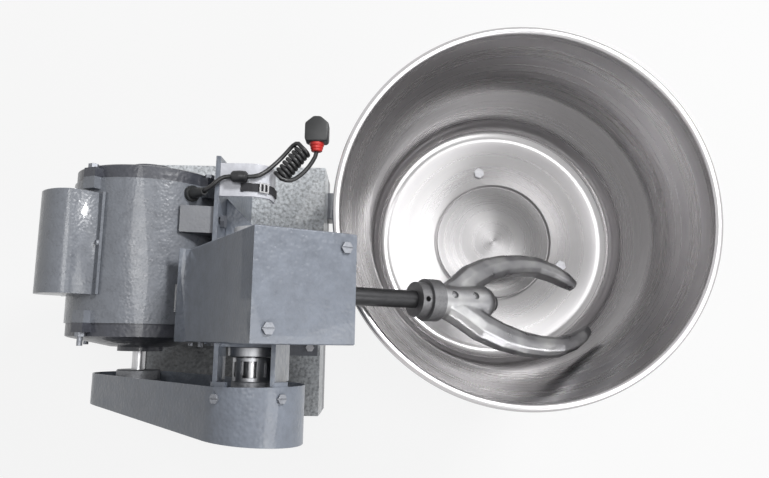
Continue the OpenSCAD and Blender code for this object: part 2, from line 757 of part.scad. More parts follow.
// Bent cradle between the motor's shell and the plate, with its four bolts
module motor_cradle() {
    foot_t = 4;
    reach = cradle_z_off + 14;
    color("#8f989e") from_bowl() for (y = cradle_y) {
        difference() {
            translate([0, y + 15, 0]) rotate([90, 0, 0]) linear_extrude(30) difference() {
                polygon([
                    [plate_x, motor_z - reach], [plate_x, motor_z + reach],
                    [plate_x - foot_t, motor_z + reach], [cradle_x, motor_z + cradle_half],
                    [cradle_x, motor_z - cradle_half], [plate_x - foot_t, motor_z - reach]
                ]);
                translate([motor_x, motor_z]) circle(r = motor_r);
            }
            for (z = cradle_z) translate([0, y, z]) rotate([0, -90, 0])
                translate([0, 0, -plate_x - 5]) cylinder(r = 4 + bolt_gap, h = 60, $fn = 32);
            for (s = [-1, 1]) translate([0, y, motor_z + s * cradle_z_off])
                box([motor_x, -12, -13], [plate_x - foot_t, 12, 13]);
        }
        for (z = cradle_z) translate([plate_x + plate_t, y, z]) rotate([0, 90, 0])
            bolt(4, 5, plate_t + foot_t + 4);
    }
}

// Motor
shell_t = 4;
rotor_r = 45;
rotor_back = -8;
rotor_front = -96;
motor_brg_r = 20;
motor_brg_w = 12;
boss_r = 25;
shaft_front = -214;
ear_r = motor_r + 4;
front_bell_y = shell_front - bell_band;
rear_bell_y = shell_back + bell_band;
module ear_places() {
    for (a = [0:90:270]) rotate([0, -tie_turn - a, 0]) translate([0, 0, ear_r]) children();
}
module motor_shell() {
    color("#98a1a8") from_bowl() {
        along_motor(shell_front) ring(motor_r, motor_r - shell_t, shell_back - shell_front);
        translate([motor_x, 0, motor_z]) ear_places()
            for (y = [[shell_front, shell_front + 13], [shell_back - 13, shell_back]]) difference() {
                box([-8, y[0], -ear_r + motor_r - 1], [8, y[1], 5]);
                translate([0, 0, -ear_r]) rotate([-90, 0, 0]) translate([0, 0, -200]) cylinder(r = motor_r, h = 400);
                translate([0, y[0] - 1, 0]) rotate([-90, 0, 0]) cylinder(r = 3 + bolt_gap, h = 20, $fn = 32);
            }
    }
}
module stator_core() {
    color("#6d7073") from_bowl() along_motor(rotor_front) difference() {
        ring(motor_r - shell_t, rotor_r + 0.5, rotor_back - rotor_front);
        for (a = [0:15:345]) rotate(a) translate([rotor_r + 2.5, -2.2, -1]) cube([17, 4.4, rotor_back - rotor_front + 2]);
    }
}
module stator_windings() {
    color("#a05a2c") from_bowl() {
        for (y = [rotor_front - 16, rotor_back]) along_motor(y) rotate_extrude() translate([rotor_r + 14, 8])
            difference() {
                square([18, 16], center = true);
                for (x = [-9, 9], z = [-8, 8]) translate([x, z]) rotate(45) square(4, center = true);
            }
    }
}
// Half section of an end bell: band, cone and boss round the bearing
module bell_section(closed) {
    band_r = motor_r - 2;
    polygon([
        [motor_brg_r, bell_band + bell_cone - (closed ? 8 : 3)],
        [motor_brg_r, bell_band + bell_cone - 22],
        [boss_r + 2, bell_band + bell_cone - 22],
        [band_r - 6, bell_band - 6],
        [band_r - 6, 0],
        [band_r, 0],
        [band_r, bell_band],
        [band_r - 3, bell_band + 1.5],
        [boss_r + 8, bell_band + bell_cone - 5],
        [boss_r, bell_band + bell_cone - 5],
        [boss_r, bell_band + bell_cone],
        [closed ? 0 : motor_shaft_r + 3, bell_band + bell_cone],
        [closed ? 0 : motor_shaft_r + 3, bell_band + bell_cone - (closed ? 8 : 3)]
    ]);
}
module bell_ears(y0, y1) {
    translate([motor_x, 0, motor_z]) ear_places() difference() {
        box([-8, y0, -12], [8, y1, 5]);
        translate([0, y0 - 1, 0]) rotate([-90, 0, 0]) cylinder(r = 3 + bolt_gap, h = 20, $fn = 32);
        translate([0, 0, -ear_r]) rotate([-90, 0, 0]) translate([0, 0, -200]) cylinder(r = motor_r - 3, h = 400);
    }
}
module front_end_bell() {
    color("#7c858c") from_bowl() {
        translate([motor_x, shell_front, motor_z]) rotate([90, 0, 0]) rotate_extrude() bell_section(false);
        bell_ears(shell_front - 10, shell_front);
    }
}
module rear_end_bell() {
    color("#7c858c") from_bowl() {
        along_motor(shell_back) rotate_extrude() bell_section(true);
        bell_ears(shell_back, shell_back + 10);
    }
}
module bell_bolts() {
    color("#9aa0a4") from_bowl() translate([motor_x, 0, motor_z]) ear_places() {
        translate([0, shell_front - 10, 0]) rotate([90, 0, 0]) {
            bolt(3, 4.5, 21);
            cylinder(r = 3, h = 14, $fn = 32);
        }
        translate([0, shell_back + 10, 0]) rotate([-90, 0, 0]) bolt(3, 4.5, 21);
    }
}
front_motor_brg_y = front_bell_y - bell_cone + 3;
rear_motor_brg_y = rear_bell_y + bell_cone - 8 - motor_brg_w;
module motor_bearings() {
    color("#c8ccd0") from_bowl() for (y = [front_motor_brg_y, rear_motor_brg_y])
        along_motor(y) bearing(motor_brg_r, motor_shaft_r + run_gap, motor_brg_w);
}
module rotor() {
    len = rotor_back - rotor_front;
    color("#84888b") from_bowl() along_motor(rotor_front) difference() {
        union() {
            cylinder(r = rotor_r, h = len);
            for (a = [0:45:315], z = [-13, len]) rotate(a) translate([26, -1.5, z]) cube([14, 3, 13]);
        }
        translate([0, 0, -1]) cylinder(r = motor_shaft_r + run_gap, h = len + 2);
    }
}
module motor_shaft() {
    color("#a9afb4") from_bowl() along_motor(shaft_front)
        cylinder(r = motor_shaft_r, h = rear_motor_brg_y + motor_brg_w - 1 - shaft_front);
}

// Capacitor on the motor's upper left, under a round topped cover
module on_cap() {
    translate([motor_x, -98, motor_z]) rotate([0, -cap_turn, 0]) translate([0, 0, motor_r]) children();
}
module cap_outline(t) {
    half = cap_w / 2 - t;
    difference() {
        union() {
            translate([-half, -8]) square([2 * half, 8 + cap_shoulder]);
            translate([0, cap_shoulder - t * (1 - cap_round)]) scale([1, cap_round]) circle(r = half);
        }
        translate([0, -motor_r]) circle(r = motor_r);
    }
}
cap_screw_x = cap_w / 2 + 4.5;
module capacitor_cover() {
    color("#a3acb2") from_bowl() on_cap() rotate([90, 0, 180]) difference() {
        union() {
            linear_extrude(cap_len) cap_outline(0);
            linear_extrude(cap_len) difference() {
                translate([-cap_w / 2 - 9, -8]) square([cap_w + 18, 3]);
                translate([0, -motor_r]) circle(r = motor_r);
            }
        }
        translate([0, 0, 2]) linear_extrude(cap_len - 4) cap_outline(2);
        translate([0, 10, -1]) cylinder(r = 1.5, h = 4, $fn = 32);
        for (side = [-1, 1]) translate([side * cap_screw_x, 0, cap_len / 2]) rotate([90, 0, 0])
            cylinder(r = 2 + bolt_gap, h = 20, $fn = 32);
    }
}
capacitor_r = 14;
module capacitor() {
    color("#2a2c2e") from_bowl() on_cap() translate([0, 14, capacitor_r + 0.3]) rotate([-90, 0, 0]) {
        cylinder(r = capacitor_r, h = cap_len - 36);
        for (x = [-5, 5]) translate([x - 2, -0.5, cap_len - 36.01]) cube([4, 1, 9]);
    }
}
module capacitor_screws() {
    shank = sqrt(motor_r * motor_r - cap_screw_x * cap_screw_x) - motor_r + 5;
    color("#b9bfc4") from_bowl() on_cap() for (side = [-1, 1]) translate([side * cap_screw_x, cap_len / 2, -5]) {
        cylinder(r1 = 3.6, r2 = 2.6, h = 2, $fn = 32);
        translate([0, 0, shank + 1.4]) cylinder(r = 2, h = -shank - 1.4, $fn = 32);
    }
}

// Belt drive, seen from the front with the local X axis from the motor to the cross shaft
belt_y = pulley_back - pulley_w / 2;
big_belt_r = big_pulley_r - 0.5;
small_belt_r = small_pulley_r - 0.5;
drive_run = norm([input_x - motor_x, input_z - motor_z]);
drive_rise = atan2(input_z - motor_z, input_x - motor_x);
belt_turn = acos((small_belt_r - big_belt_r) / drive_run);
belt_lean = tan(17.35);
module in_drive() {
    translate([motor_x, belt_y, motor_z]) rotate([90, 0, 0]) rotate(drive_rise) children();
}
module belt_section(r) {
    polygon([
        [r - belt_h, belt_h * belt_lean - belt_w / 2], [r, -belt_w / 2],
        [r, belt_w / 2], [r - belt_h, belt_w / 2 - belt_h * belt_lean]
    ]);
}
module drive_belt() {
    run = drive_run * sin(belt_turn);
    color("#1c1c1c") from_bowl() in_drive() {
        translate([drive_run, 0, 0]) rotate(-belt_turn) rotate_extrude(angle = 2 * belt_turn)
            belt_section(big_belt_r);
        rotate(belt_turn) rotate_extrude(angle = 360 - 2 * belt_turn) belt_section(small_belt_r);
        for (m = [0, 1]) mirror([0, m, 0]) rotate(belt_turn - 90)
            rotate([90, 0, 90]) linear_extrude(run) belt_section(small_belt_r);
    }
}
// A pulley with one groove, its hub behind the rim, standing on its back face
module pulley(r, bore, hub, hub_len, belt_r) {
    mid = pulley_w / 2;
    half = belt_w / 2 + belt_gap * 1.05;
    deep = belt_h + belt_gap;
    difference() {
        rotate_extrude() polygon([
            [bore, -hub_len], [hub - 1, -hub_len], [hub, 1 - hub_len], [hub, 0],
            [r - 1, 0], [r, 1],
            [r, mid - half - (r - belt_r) * belt_lean],
            [belt_r - deep, mid - half + deep * belt_lean],
            [belt_r - deep - 1.5, mid - half + deep * belt_lean + 1],
            [belt_r - deep - 1.5, mid + half - deep * belt_lean - 1],
            [belt_r - deep, mid + half - deep * belt_lean],
            [r, mid + half + (r - belt_r) * belt_lean],
            [r, pulley_w - 1], [r - 1, pulley_w], [bore, pulley_w]
        ]);
        translate([0, 0, -hub_len / 2]) rotate([0, -90, 0]) translate([0, 0, bore - 1])
            cylinder(r = 2.5, h = hub, $fn = 32);
    }
}
module motor_pulley() {
    color("#8e9398") from_bowl() translate([motor_x, pulley_back, motor_z]) rotate([90, -90, 0])
        pulley(small_pulley_r, motor_shaft_r + run_gap, small_pulley_r - 1, 11, small_belt_r);
}
hub_len = 10;
module driven_pulley() {
    color("#8e9398") from_bowl() translate([input_x, pulley_back, input_z]) rotate([90, 0, 0]) difference() {
        pulley(big_pulley_r, input_r + run_gap, 18.5, hub_len, big_belt_r);
        // Round openings in the web
        for (a = [30:60:330]) rotate(a) translate([21.5, 0, -1]) cylinder(r = 4.5, h = pulley_w + 2, $fn = 32);
    }
}
module spacer_sleeve() {
    back = flange_y - flange_t - pass_gap;
    front = pulley_back + hub_len;
    color("#5c6166") from_bowl() translate([input_x, back, input_z]) rotate([90, 0, 0]) difference() {
        cylinder(r = 18, h = back - front);
        translate([0, 0, 3]) cylinder(r = 14.5, h = back - front - 6);
        translate([0, 0, -1]) cylinder(r = input_r + run_gap, h = back - front + 2);
        for (a = [90, 270]) rotate(a) translate([0, -7, 3]) cube([30, 14, back - front - 6]);
        for (a = [40, 140, 220, 320]) rotate(a) translate([0, -1.5, 4]) cube([30, 3, back - front - 8]);
    }
}

// Guard over the belt, open at the back
module guard_outline(r) {
    union() {
        circle(r = r);
        translate([drive_run, 0]) circle(r = r);
        translate([0, -r]) square([drive_run, 2 * r]);
    }
}
module guard_body(r, depth, y) {
    intersection() {
        translate([motor_x, y, motor_z]) rotate([90, 0, 0]) rotate(drive_rise) linear_extrude(depth) guard_outline(r);
        translate([input_x + guard_r, y - depth, motor_z - 100]) rotate([0, 0, 180 - guard_slope])
            translate([-20, -150, 0]) cube([400, 150, 400]);
    }
}
guard_screw_turns = [42, -28];
module guard_bracket_places() {
    for (a = guard_screw_turns) translate([input_x, 0, input_z]) rotate([0, a, 0]) children();
}
tab_mid_y = guard_back - 10;
module belt_guard() {
    color("#8b949b") from_bowl() difference() {
        guard_body(guard_r, guard_depth, guard_back);
        guard_body(guard_r - guard_wall, guard_depth - guard_wall, guard_back + 0.01);
        guard_bracket_places() translate([0, tab_mid_y, 30]) cylinder(r = 2.5 + bolt_gap, h = 40, $fn = 32);
    }
}
// Bracket clamped behind the bearing's flange, with two arms that carry the guard
module guard_bracket() {
    right = input_x + input_r + 15;
    left = input_x - input_r - 15;
    tab_r = guard_r - guard_wall;
    color("#a3acb2") from_bowl() difference() {
        union() {
            box([left - 4, flange_y, input_z - 29], [right + 4, flange_y + bracket_t, input_z + 29]);
            box([right, guard_back + 0.5, input_z - 56], [right + 4, flange_y + bracket_t, input_z + 40]);
            box([left - 4, guard_back + 0.5, input_z + 10], [left, flange_y + bracket_t, input_z + 40]);
            // Tabs curved to the guard's inside
            intersection() {
                guard_bracket_places() box([-8, tab_mid_y - 7, tab_r - 4], [8, guard_back + 4, tab_r]);
                along_input(tab_mid_y - 8) cylinder(r = tab_r, h = 40);
            }
        }
        along_input(flange_y - 1) cylinder(r = spigot_r + bolt_gap, h = bracket_t + 2);
        guard_bracket_places() translate([0, tab_mid_y, 30]) cylinder(r = 2.5 + bolt_gap, h = 40, $fn = 32);
    }
}
module guard_screws() {
    color("#c2c7cb") from_bowl() guard_bracket_places() translate([0, tab_mid_y, guard_r]) difference() {
        bolt(2.5, 2.5, guard_wall + 3);
        translate([-6, -0.5, 1.5]) cube([12, 1, 3]);
    }
}

// Lead: out of the motor, over the holder on the plate, then wound up to its plug
gland_y = 18;
gland_turn = 50;
gland_len = 24;
module lead_gland() {
    color("#1f2022") from_bowl() translate([motor_x, gland_y, motor_z]) rotate([0, gland_turn, 0])
        translate([0, 0, motor_r]) difference() {
            union() {
                difference() {
                    translate([0, 0, -3]) cylinder(r = 9, h = 7);
                    rotate([90, 0, 0]) translate([0, -motor_r, -20]) cylinder(r = motor_r, h = 40);
                }
                translate([0, 0, 3.9]) cylinder(r1 = 6.5, r2 = 4.2, h = gland_len - 3.9);
            }
            translate([0, 0, 4]) cylinder(r = lead_r, h = gland_len, $fn = 32);
        }
}
// The lead's own points, from the bowl's axis and the rim
lead_points = [
    [-370.4, 18, -25.1], [-362.7, 18, -18.6], [-356.5, 18.8, -13.8], [-350.8, 20.9, -10.8], [-346, 24, -10],
    [-342, 28, -10], [-338, 31.6, -10.3], [-333.2, 34, -10.8], [-327.5, 34.8, -11], [-317, 34.8, -11],
    [-306.5, 34.8, -11], [-301, 35.4, -11.6], [-296, 37.2, -13.2], [-291.5, 40.2, -15.6], [-287.4, 44.4, -18.6],
    [-283.1, 49.5, -22], [-278.8, 55, -25.4], [-273.9, 61.3, -28], [-269, 67.6, -29.4], [-264.9, 72.8, -29.6],
    [-261.4, 76.2, -28.2], [-257.8, 77.9, -25.9], [-254.6, 77.4, -23.7]
];
plug_points = [
    [-272.6, 36.4, -23.6], [-267.6, 35.2, -26], [-262.1, 35.6, -28], [-257.2, 38.2, -29.2], [-252.2, 42, -30],
    [-247.2, 46.9, -30], [-242.9, 52.2, -30], [-239.1, 58.1, -30], [-236, 64, -30], [-234.6, 70, -30]
];
wound_start = [-276, 37.5, -30];
wound_turn = 52;
lead_sides = 10;
function unit(v) = v / norm(v);
function lead_way(p, i) = unit(p[min(i + 1, len(p) - 1)] - p[max(i - 1, 0)]);
module lead_tube(p) {
    n = len(p);
    points = [for (i = [0:n - 1])
        let (w = lead_way(p, i), u = unit(cross(w, [0.3, -0.5, 1])), v = cross(w, u))
        for (j = [0:lead_sides - 1])
            p[i] + lead_r * (cos(j * 360 / lead_sides) * u + sin(j * 360 / lead_sides) * v)
    ];
    faces = concat(
        [[for (j = [lead_sides - 1:-1:0]) j]],
        [for (i = [0:n - 2]) for (j = [0:lead_sides - 1]) let (k = (j + 1) % lead_sides)
            for (m = [[j, k, k + lead_sides], [j, k + lead_sides, j + lead_sides]])
                [for (q = m) i * lead_sides + q]],
        [[for (j = [0:lead_sides - 1]) (n - 1) * lead_sides + j]]
    );
    polyhedron(points = points, faces = faces, convexity = 6);
}
module lead() {
    color("#1f2022") from_bowl() translate([0, 0, rim_z]) {
        lead_tube(lead_points);
        lead_tube(plug_points);
    }
}
module wound_lead() {
    color("#1f2022") from_bowl() translate([0, 0, rim_z]) translate(wound_start)
        rotate([0, 0, wound_turn]) rotate([0, 90, 0]) cylinder(r = wound_r, h = wound_len);
}
// Bent sheet on the plate's top corner, that the lead is tied to
holder_t = 3;
holder_back = 52;
holder_front = 14;
holder_right = col_left + holder_w;
slot_x = col_left + 26;
strap_w = 9;
strap_y = 20;
strap_t = 1.4;
// Edge of the holder's sheet, grown by d: over the bend, round the free edge and back inside
function holder_arc(r, a0, a1) = [for (i = [0:8]) let (a = a0 + (a1 - a0) * i / 8)
    [holder_right - holder_r + r * cos(a), plate_top - holder_r + r * sin(a)]];
function holder_loop(left, d) = concat(
    [[left - d, plate_top + d]],
    holder_arc(holder_r + d, 90, 0),
    [[holder_right + d, plate_top - holder_h - d], [holder_right - holder_t - d, plate_top - holder_h - d]],
    holder_arc(holder_r - holder_t - d, 0, 90),
    [[left - d, plate_top - holder_t - d]]
);
module cord_holder() {
    color("#c3c9cd") from_bowl() difference() {
        translate([0, holder_back, 0]) rotate([90, 0, 0]) linear_extrude(holder_back - holder_front)
            polygon(holder_loop(col_left, 0));
        box(
            [slot_x - strap_t - 1, strap_y - 0.6, plate_top - holder_t - 1],
            [slot_x + 0.4, strap_y + strap_w + 0.6, plate_top + 1]
        );
    }
}
// Strap through the holder's slot, over the bend and round its free edge
module strap() {
    color("#1c1c20") from_bowl() translate([0, strap_y + strap_w, 0]) rotate([90, 0, 0]) linear_extrude(strap_w)
        difference() {
            polygon(holder_loop(slot_x, 0.2 + strap_t));
            polygon(holder_loop(slot_x, 0.2));
        }
}
buckle_turn = 40;
module strap_buckle() {
    color("#c8ccd0") from_bowl() translate([holder_right - holder_r, strap_y - 1, plate_top - holder_r])
        rotate([0, buckle_turn, 0]) translate([-6, 0, holder_r + strap_t + 0.6]) difference() {
            cube([12, strap_w + 2, 1.6]);
            for (x = [2, 7]) translate([x, 1.6, -1]) cube([3, strap_w - 1.2, 4]);
        }
}
// Turns of tape round the lead, on top of the holder
wrap_r = 6.9;
wrap_len = 18;
module tape_wrap() {
    color("#1c1c20") from_bowl() translate([-326, 34.8, rim_z - 11]) rotate([0, 90, 0]) rotate_extrude() polygon([
        [lead_r + 0.1, 0], [wrap_r - 2.5, 0], [wrap_r - 0.6, 2], [wrap_r, wrap_len / 2],
        [wrap_r - 0.6, wrap_len - 2], [wrap_r - 2.5, wrap_len], [lead_r + 0.1, wrap_len]
    ]);
}
plug_y = 80;
plug_x = -234.5;
plug_z = -30;
collar_y = 70;
module plug() {
    half = plug_w / 2;
    color("#2b2d2f") from_bowl() translate([plug_x, 0, rim_z + plug_z]) {
        translate([0, 0, -plug_t / 2]) linear_extrude(plug_t) polygon([
            [2 - half, plug_y], [half - 2, plug_y], [half, plug_y + 2],
            [half, plug_y + plug_len * 0.74], [3, plug_y + plug_len], [-3, plug_y + plug_len],
            [-half, plug_y + plug_len * 0.74], [-half, plug_y + 2]
        ]);
        translate([0, collar_y, 0]) rotate([-90, 0, 0]) cylinder(r1 = 6.5, r2 = 8.5, h = plug_y - collar_y);
    }
}
module plug_pins() {
    color("#c9b06a") from_bowl() translate([plug_x, plug_y, rim_z + plug_z - plug_t / 2]) rotate([180, 0, 0]) {
        translate([0, -plug_len + 9, 0]) cylinder(r = 3.5, h = 19, $fn = 32);
        for (x = [-7, 7]) translate([x, -8, 0]) cylinder(r = 2.5, h = 15, $fn = 32);
    }
}

rubber_feet();
base_rails();
cross_tubes();
hub_plate();
spindle_housing();
hub_bolts();
spindle_bearings();
spindle();
turntable();
bowl();
bowl_bolts();
deck_box();
deck_bolts();
gear_frame();
fork_bearing_tube();
tube_bolts();
fork_bearings();
gear_cover();
cover_screws();
front_bearing_housing();
rear_bearing_housing();
input_bearings();
input_shaft();
pinion();
driven_pulley();
spacer_sleeve();
crown_wheel();
fork_shaft();
shaft_collar();
fork();
fork_screws();
motor_plate();
plate_gusset();
motor_cradle();
motor_shell();
stator_core();
stator_windings();
front_end_bell();
rear_end_bell();
bell_bolts();
motor_bearings();
rotor();
motor_shaft();
motor_pulley();
capacitor_cover();
capacitor();
capacitor_screws();
drive_belt();
belt_guard();
guard_bracket();
guard_screws();
lead_gland();
cord_holder();
tape_wrap();
strap();
strap_buckle();
lead();
wound_lead();
plug();
plug_pins();
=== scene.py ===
import json
import math

import bmesh
import bpy
from mathutils import Matrix, Vector

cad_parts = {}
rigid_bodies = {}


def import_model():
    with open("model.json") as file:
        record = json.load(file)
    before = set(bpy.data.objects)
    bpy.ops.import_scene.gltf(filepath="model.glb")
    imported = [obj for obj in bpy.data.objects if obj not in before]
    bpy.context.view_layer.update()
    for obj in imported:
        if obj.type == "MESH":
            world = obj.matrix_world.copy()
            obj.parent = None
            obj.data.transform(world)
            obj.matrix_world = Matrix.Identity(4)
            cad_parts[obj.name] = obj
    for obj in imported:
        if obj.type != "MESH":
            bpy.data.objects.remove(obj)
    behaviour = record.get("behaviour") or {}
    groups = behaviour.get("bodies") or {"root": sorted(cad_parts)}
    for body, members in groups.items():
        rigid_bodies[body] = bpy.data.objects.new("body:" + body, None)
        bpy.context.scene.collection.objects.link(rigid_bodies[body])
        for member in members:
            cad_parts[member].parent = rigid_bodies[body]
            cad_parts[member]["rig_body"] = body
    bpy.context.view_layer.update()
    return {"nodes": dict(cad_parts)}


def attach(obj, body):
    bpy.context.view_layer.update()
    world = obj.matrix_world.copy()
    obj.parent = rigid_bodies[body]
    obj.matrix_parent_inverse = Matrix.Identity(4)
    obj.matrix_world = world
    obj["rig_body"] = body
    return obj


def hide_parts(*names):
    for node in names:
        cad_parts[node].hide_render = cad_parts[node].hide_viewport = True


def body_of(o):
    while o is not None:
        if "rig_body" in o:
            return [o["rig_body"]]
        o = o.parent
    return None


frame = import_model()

nodes = frame["nodes"]
scene = bpy.context.scene
scene.view_settings.view_transform = "Standard"

# Places are in millimetres from the bowl's axis, with height above the floor
bowl_axis = Vector((0.159462, 0.015, 0))
rim_z = 330


def spot(x, y, z):
    return Vector((x, y, z)) / 1000 + bowl_axis


# Camera, above the machine and nearly straight down
lens = bpy.data.cameras.new("camera")
lens.sensor_width = 36
lens.lens = 31.83
lens.clip_start = 0.01
lens.clip_end = 20
camera = bpy.data.objects.new("camera", lens)
scene.collection.objects.link(camera)
scene.camera = camera
camera_place = spot(-161.7, -140.8, 1052.3)
lean = Vector((-8.45, 0.54, -1.0))
look = Matrix.Rotation(math.radians(lean.length), 3, lean).transposed()
camera.matrix_world = Matrix.Translation(camera_place) @ look.to_4x4()


# Finishes
def new_finish(name, colour, metallic=0.0, roughness=0.5):
    material = bpy.data.materials.new(name)
    material.use_nodes = True
    shader = material.node_tree.nodes["Principled BSDF"]
    shader.inputs["Base Color"].default_value = (*colour, 1)
    shader.inputs["Metallic"].default_value = metallic
    shader.inputs["Roughness"].default_value = roughness
    return material


def place_of(material, centre=(0, 0, 0), stretch=(1, 1, 1)):
    """Object coordinates, moved to a centre and stretched."""
    tree = material.node_tree
    source = tree.nodes.new("ShaderNodeTexCoord")
    moved = tree.nodes.new("ShaderNodeVectorMath")
    moved.operation = "SUBTRACT"
    moved.inputs[1].default_value = centre
    tree.links.new(source.outputs["Object"], moved.inputs[0])
    grown = tree.nodes.new("ShaderNodeVectorMath")
    grown.operation = "MULTIPLY"
    grown.inputs[1].default_value = stretch
    tree.links.new(moved.outputs[0], grown.inputs[0])
    return grown.outputs[0]


def noise(material, place, scale, detail=3.0, rough=0.6):
    node = material.node_tree.nodes.new("ShaderNodeTexNoise")
    node.inputs["Scale"].default_value = scale
    node.inputs["Detail"].default_value = detail
    node.inputs["Roughness"].default_value = rough
    material.node_tree.links.new(place, node.inputs["Vector"])
    return node.outputs["Fac"]


def cells(material, place, scale):
    node = material.node_tree.nodes.new("ShaderNodeTexVoronoi")
    node.feature = "SMOOTH_F1"
    node.inputs["Scale"].default_value = scale
    material.node_tree.links.new(place, node.inputs["Vector"])
    return node.outputs["Distance"]


def tint(material, value, stops, socket="Base Color"):
    tree = material.node_tree
    ramp = tree.nodes.new("ShaderNodeValToRGB")
    first, last = ramp.color_ramp.elements[0], ramp.color_ramp.elements[1]
    first.position, first.color = stops[0][0], (*stops[0][1], 1)
    last.position, last.color = stops[-1][0], (*stops[-1][1], 1)
    for position, colour in stops[1:-1]:
        ramp.color_ramp.elements.new(position).color = (*colour, 1)
    tree.links.new(value, ramp.inputs["Fac"])
    tree.links.new(ramp.outputs["Color"], tree.nodes["Principled BSDF"].inputs[socket])
    return ramp.outputs["Color"]


def mapped(tree, value, span, levels):
    """The value, taken from one span to another."""
    node = tree.nodes.new("ShaderNodeMapRange")
    node.inputs["From Min"].default_value, node.inputs["From Max"].default_value = span
    node.inputs["To Min"].default_value, node.inputs["To Max"].default_value = levels
    tree.links.new(value, node.inputs["Value"])
    return node.outputs["Result"]


def spread(material, value, low, high, socket="Roughness"):
    tree = material.node_tree
    level = mapped(tree, value, (0.3, 0.7), (low, high))
    tree.links.new(level, tree.nodes["Principled BSDF"].inputs[socket])


def relief(material, value, height, strength=1.0):
    tree = material.node_tree
    shader = tree.nodes["Principled BSDF"]
    bump = tree.nodes.new("ShaderNodeBump")
    bump.inputs["Distance"].default_value = height
    bump.inputs["Strength"].default_value = strength
    tree.links.new(value, bump.inputs["Height"])
    if shader.inputs["Normal"].is_linked:
        tree.links.new(shader.inputs["Normal"].links[0].from_socket, bump.inputs["Normal"])
    tree.links.new(bump.outputs["Normal"], shader.inputs["Normal"])


def hammered(name, colour, rough=0.36, size=330, height=0.0006):
    """Enamel with the dimples of hammer finish."""
    material = new_finish(name, colour, 0.0, rough)
    material.node_tree.nodes["Principled BSDF"].inputs["Coat Weight"].default_value = 0.25
    place = place_of(material)
    tone = noise(material, place, 60, 5, 0.7)
    dark = tuple(c * 0.82 for c in colour)
    light = tuple(min(1, c * 1.14) for c in colour)
    tint(material, tone, [(0.3, dark), (0.55, colour), (0.75, light)])
    relief(material, cells(material, place, size), height, 0.55)
    relief(material, noise(material, place, 45, 2), 0.0008, 0.35)
    spread(material, noise(material, place, 120, 3), rough - 0.06, rough + 0.14)
    return material


def worked_metal(name, colour, rough, grain, stretch=(1, 1, 1), height=0.00004, metallic=1.0):
    """Metal with the fine marks of its making."""
    material = new_finish(name, colour, metallic, rough)
    place = place_of(material, stretch=stretch)
    marks = noise(material, place, grain, 4, 0.65)
    dark = tuple(c * 0.8 for c in colour)
    light = tuple(min(1, c * 1.1) for c in colour)
    tint(material, marks, [(0.3, dark), (0.52, colour), (0.72, light)])
    relief(material, marks, height, 0.6)
    spread(material, noise(material, place, grain / 6, 3), rough - 0.08, rough + 0.12)
    return material


def moulded(name, colour, rough, grain=900, height=0.00008):
    """Rubber or plastic with a fine grain."""
    material = new_finish(name, colour, 0.0, rough)
    place = place_of(material)
    fine = noise(material, place, grain, 2)
    dark = tuple(c * 0.75 for c in colour)
    light = tuple(c * 1.3 + 0.004 for c in colour)
    tint(material, noise(material, place, 50, 4), [(0.3, dark), (0.7, light)])
    relief(material, fine, height, 0.5)
    spread(material, fine, rough - 0.08, rough + 0.1)
    return material


cover_enamel = hammered("cover_enamel", (0.17, 0.19, 0.228), 0.34, 300, 0.0008)
motor_enamel = hammered("motor_enamel", (0.19, 0.203, 0.23), 0.28, 340, 0.0006)
bell_enamel = hammered("bell_enamel", (0.055, 0.058, 0.072), 0.38, 260, 0.001)
stand_enamel = hammered("stand_enamel", (0.12, 0.127, 0.145), 0.45)
housing_enamel = hammered("housing_enamel", (0.62, 0.63, 0.68), 0.38, 260, 0.0004)
deck_enamel = hammered("deck_enamel", (0.68, 0.71, 0.74), 0.42, 210, 0.0024)
turned_steel = worked_metal("turned_steel", (0.55, 0.55, 0.56), 0.26, 500, (1, 0.15, 1))
dark_steel = worked_metal("dark_steel", (0.16, 0.16, 0.165), 0.40, 260, height=0.00008, metallic=0.75)
fork_shaft_steel = worked_metal("fork_shaft_steel", (0.04, 0.04, 0.042), 0.38, 300, (0.2, 1, 1), 0.00008, 0.8)
zinc = worked_metal("zinc", (0.42, 0.42, 0.44), 0.36, 420)
dull_zinc = worked_metal("dull_zinc", (0.25, 0.26, 0.285), 0.42, 420, metallic=0.6)
bright_steel = worked_metal("bright_steel", (0.66, 0.66, 0.67), 0.2, 700)
gear_steel = worked_metal("gear_steel", (0.30, 0.30, 0.31), 0.35, 500)
cast_iron = worked_metal("cast_iron", (0.27, 0.275, 0.29), 0.5, 380, height=0.0002, metallic=0.7)
machined_iron = worked_metal("machined_iron", (0.40, 0.405, 0.42), 0.38, 420, (1, 0.2, 1), 0.00008)
sheet_stack = worked_metal("sheet_stack", (0.24, 0.24, 0.25), 0.45, 900, (0.1, 6, 0.1))
copper = worked_metal("copper", (0.58, 0.25, 0.12), 0.35, 600, (1, 0.3, 1))
brass = worked_metal("brass", (0.72, 0.53, 0.22), 0.25, 500)
foot_rubber = moulded("foot_rubber", (0.018, 0.018, 0.018), 0.72)
belt_rubber = moulded("belt_rubber", (0.014, 0.014, 0.015), 0.65, 1500)
lead_sheath = moulded("lead_sheath", (0.012, 0.012, 0.013), 0.36, 700)
plug_black = moulded("plug_black", (0.02, 0.021, 0.022), 0.42, 1200)
plug_red = moulded("plug_red", (0.52, 0.02, 0.015), 0.35)
webbing = moulded("webbing", (0.016, 0.016, 0.02), 0.7, 1400, 0.0003)
tape = moulded("tape", (0.012, 0.012, 0.014), 0.4, 200, 0.0004)


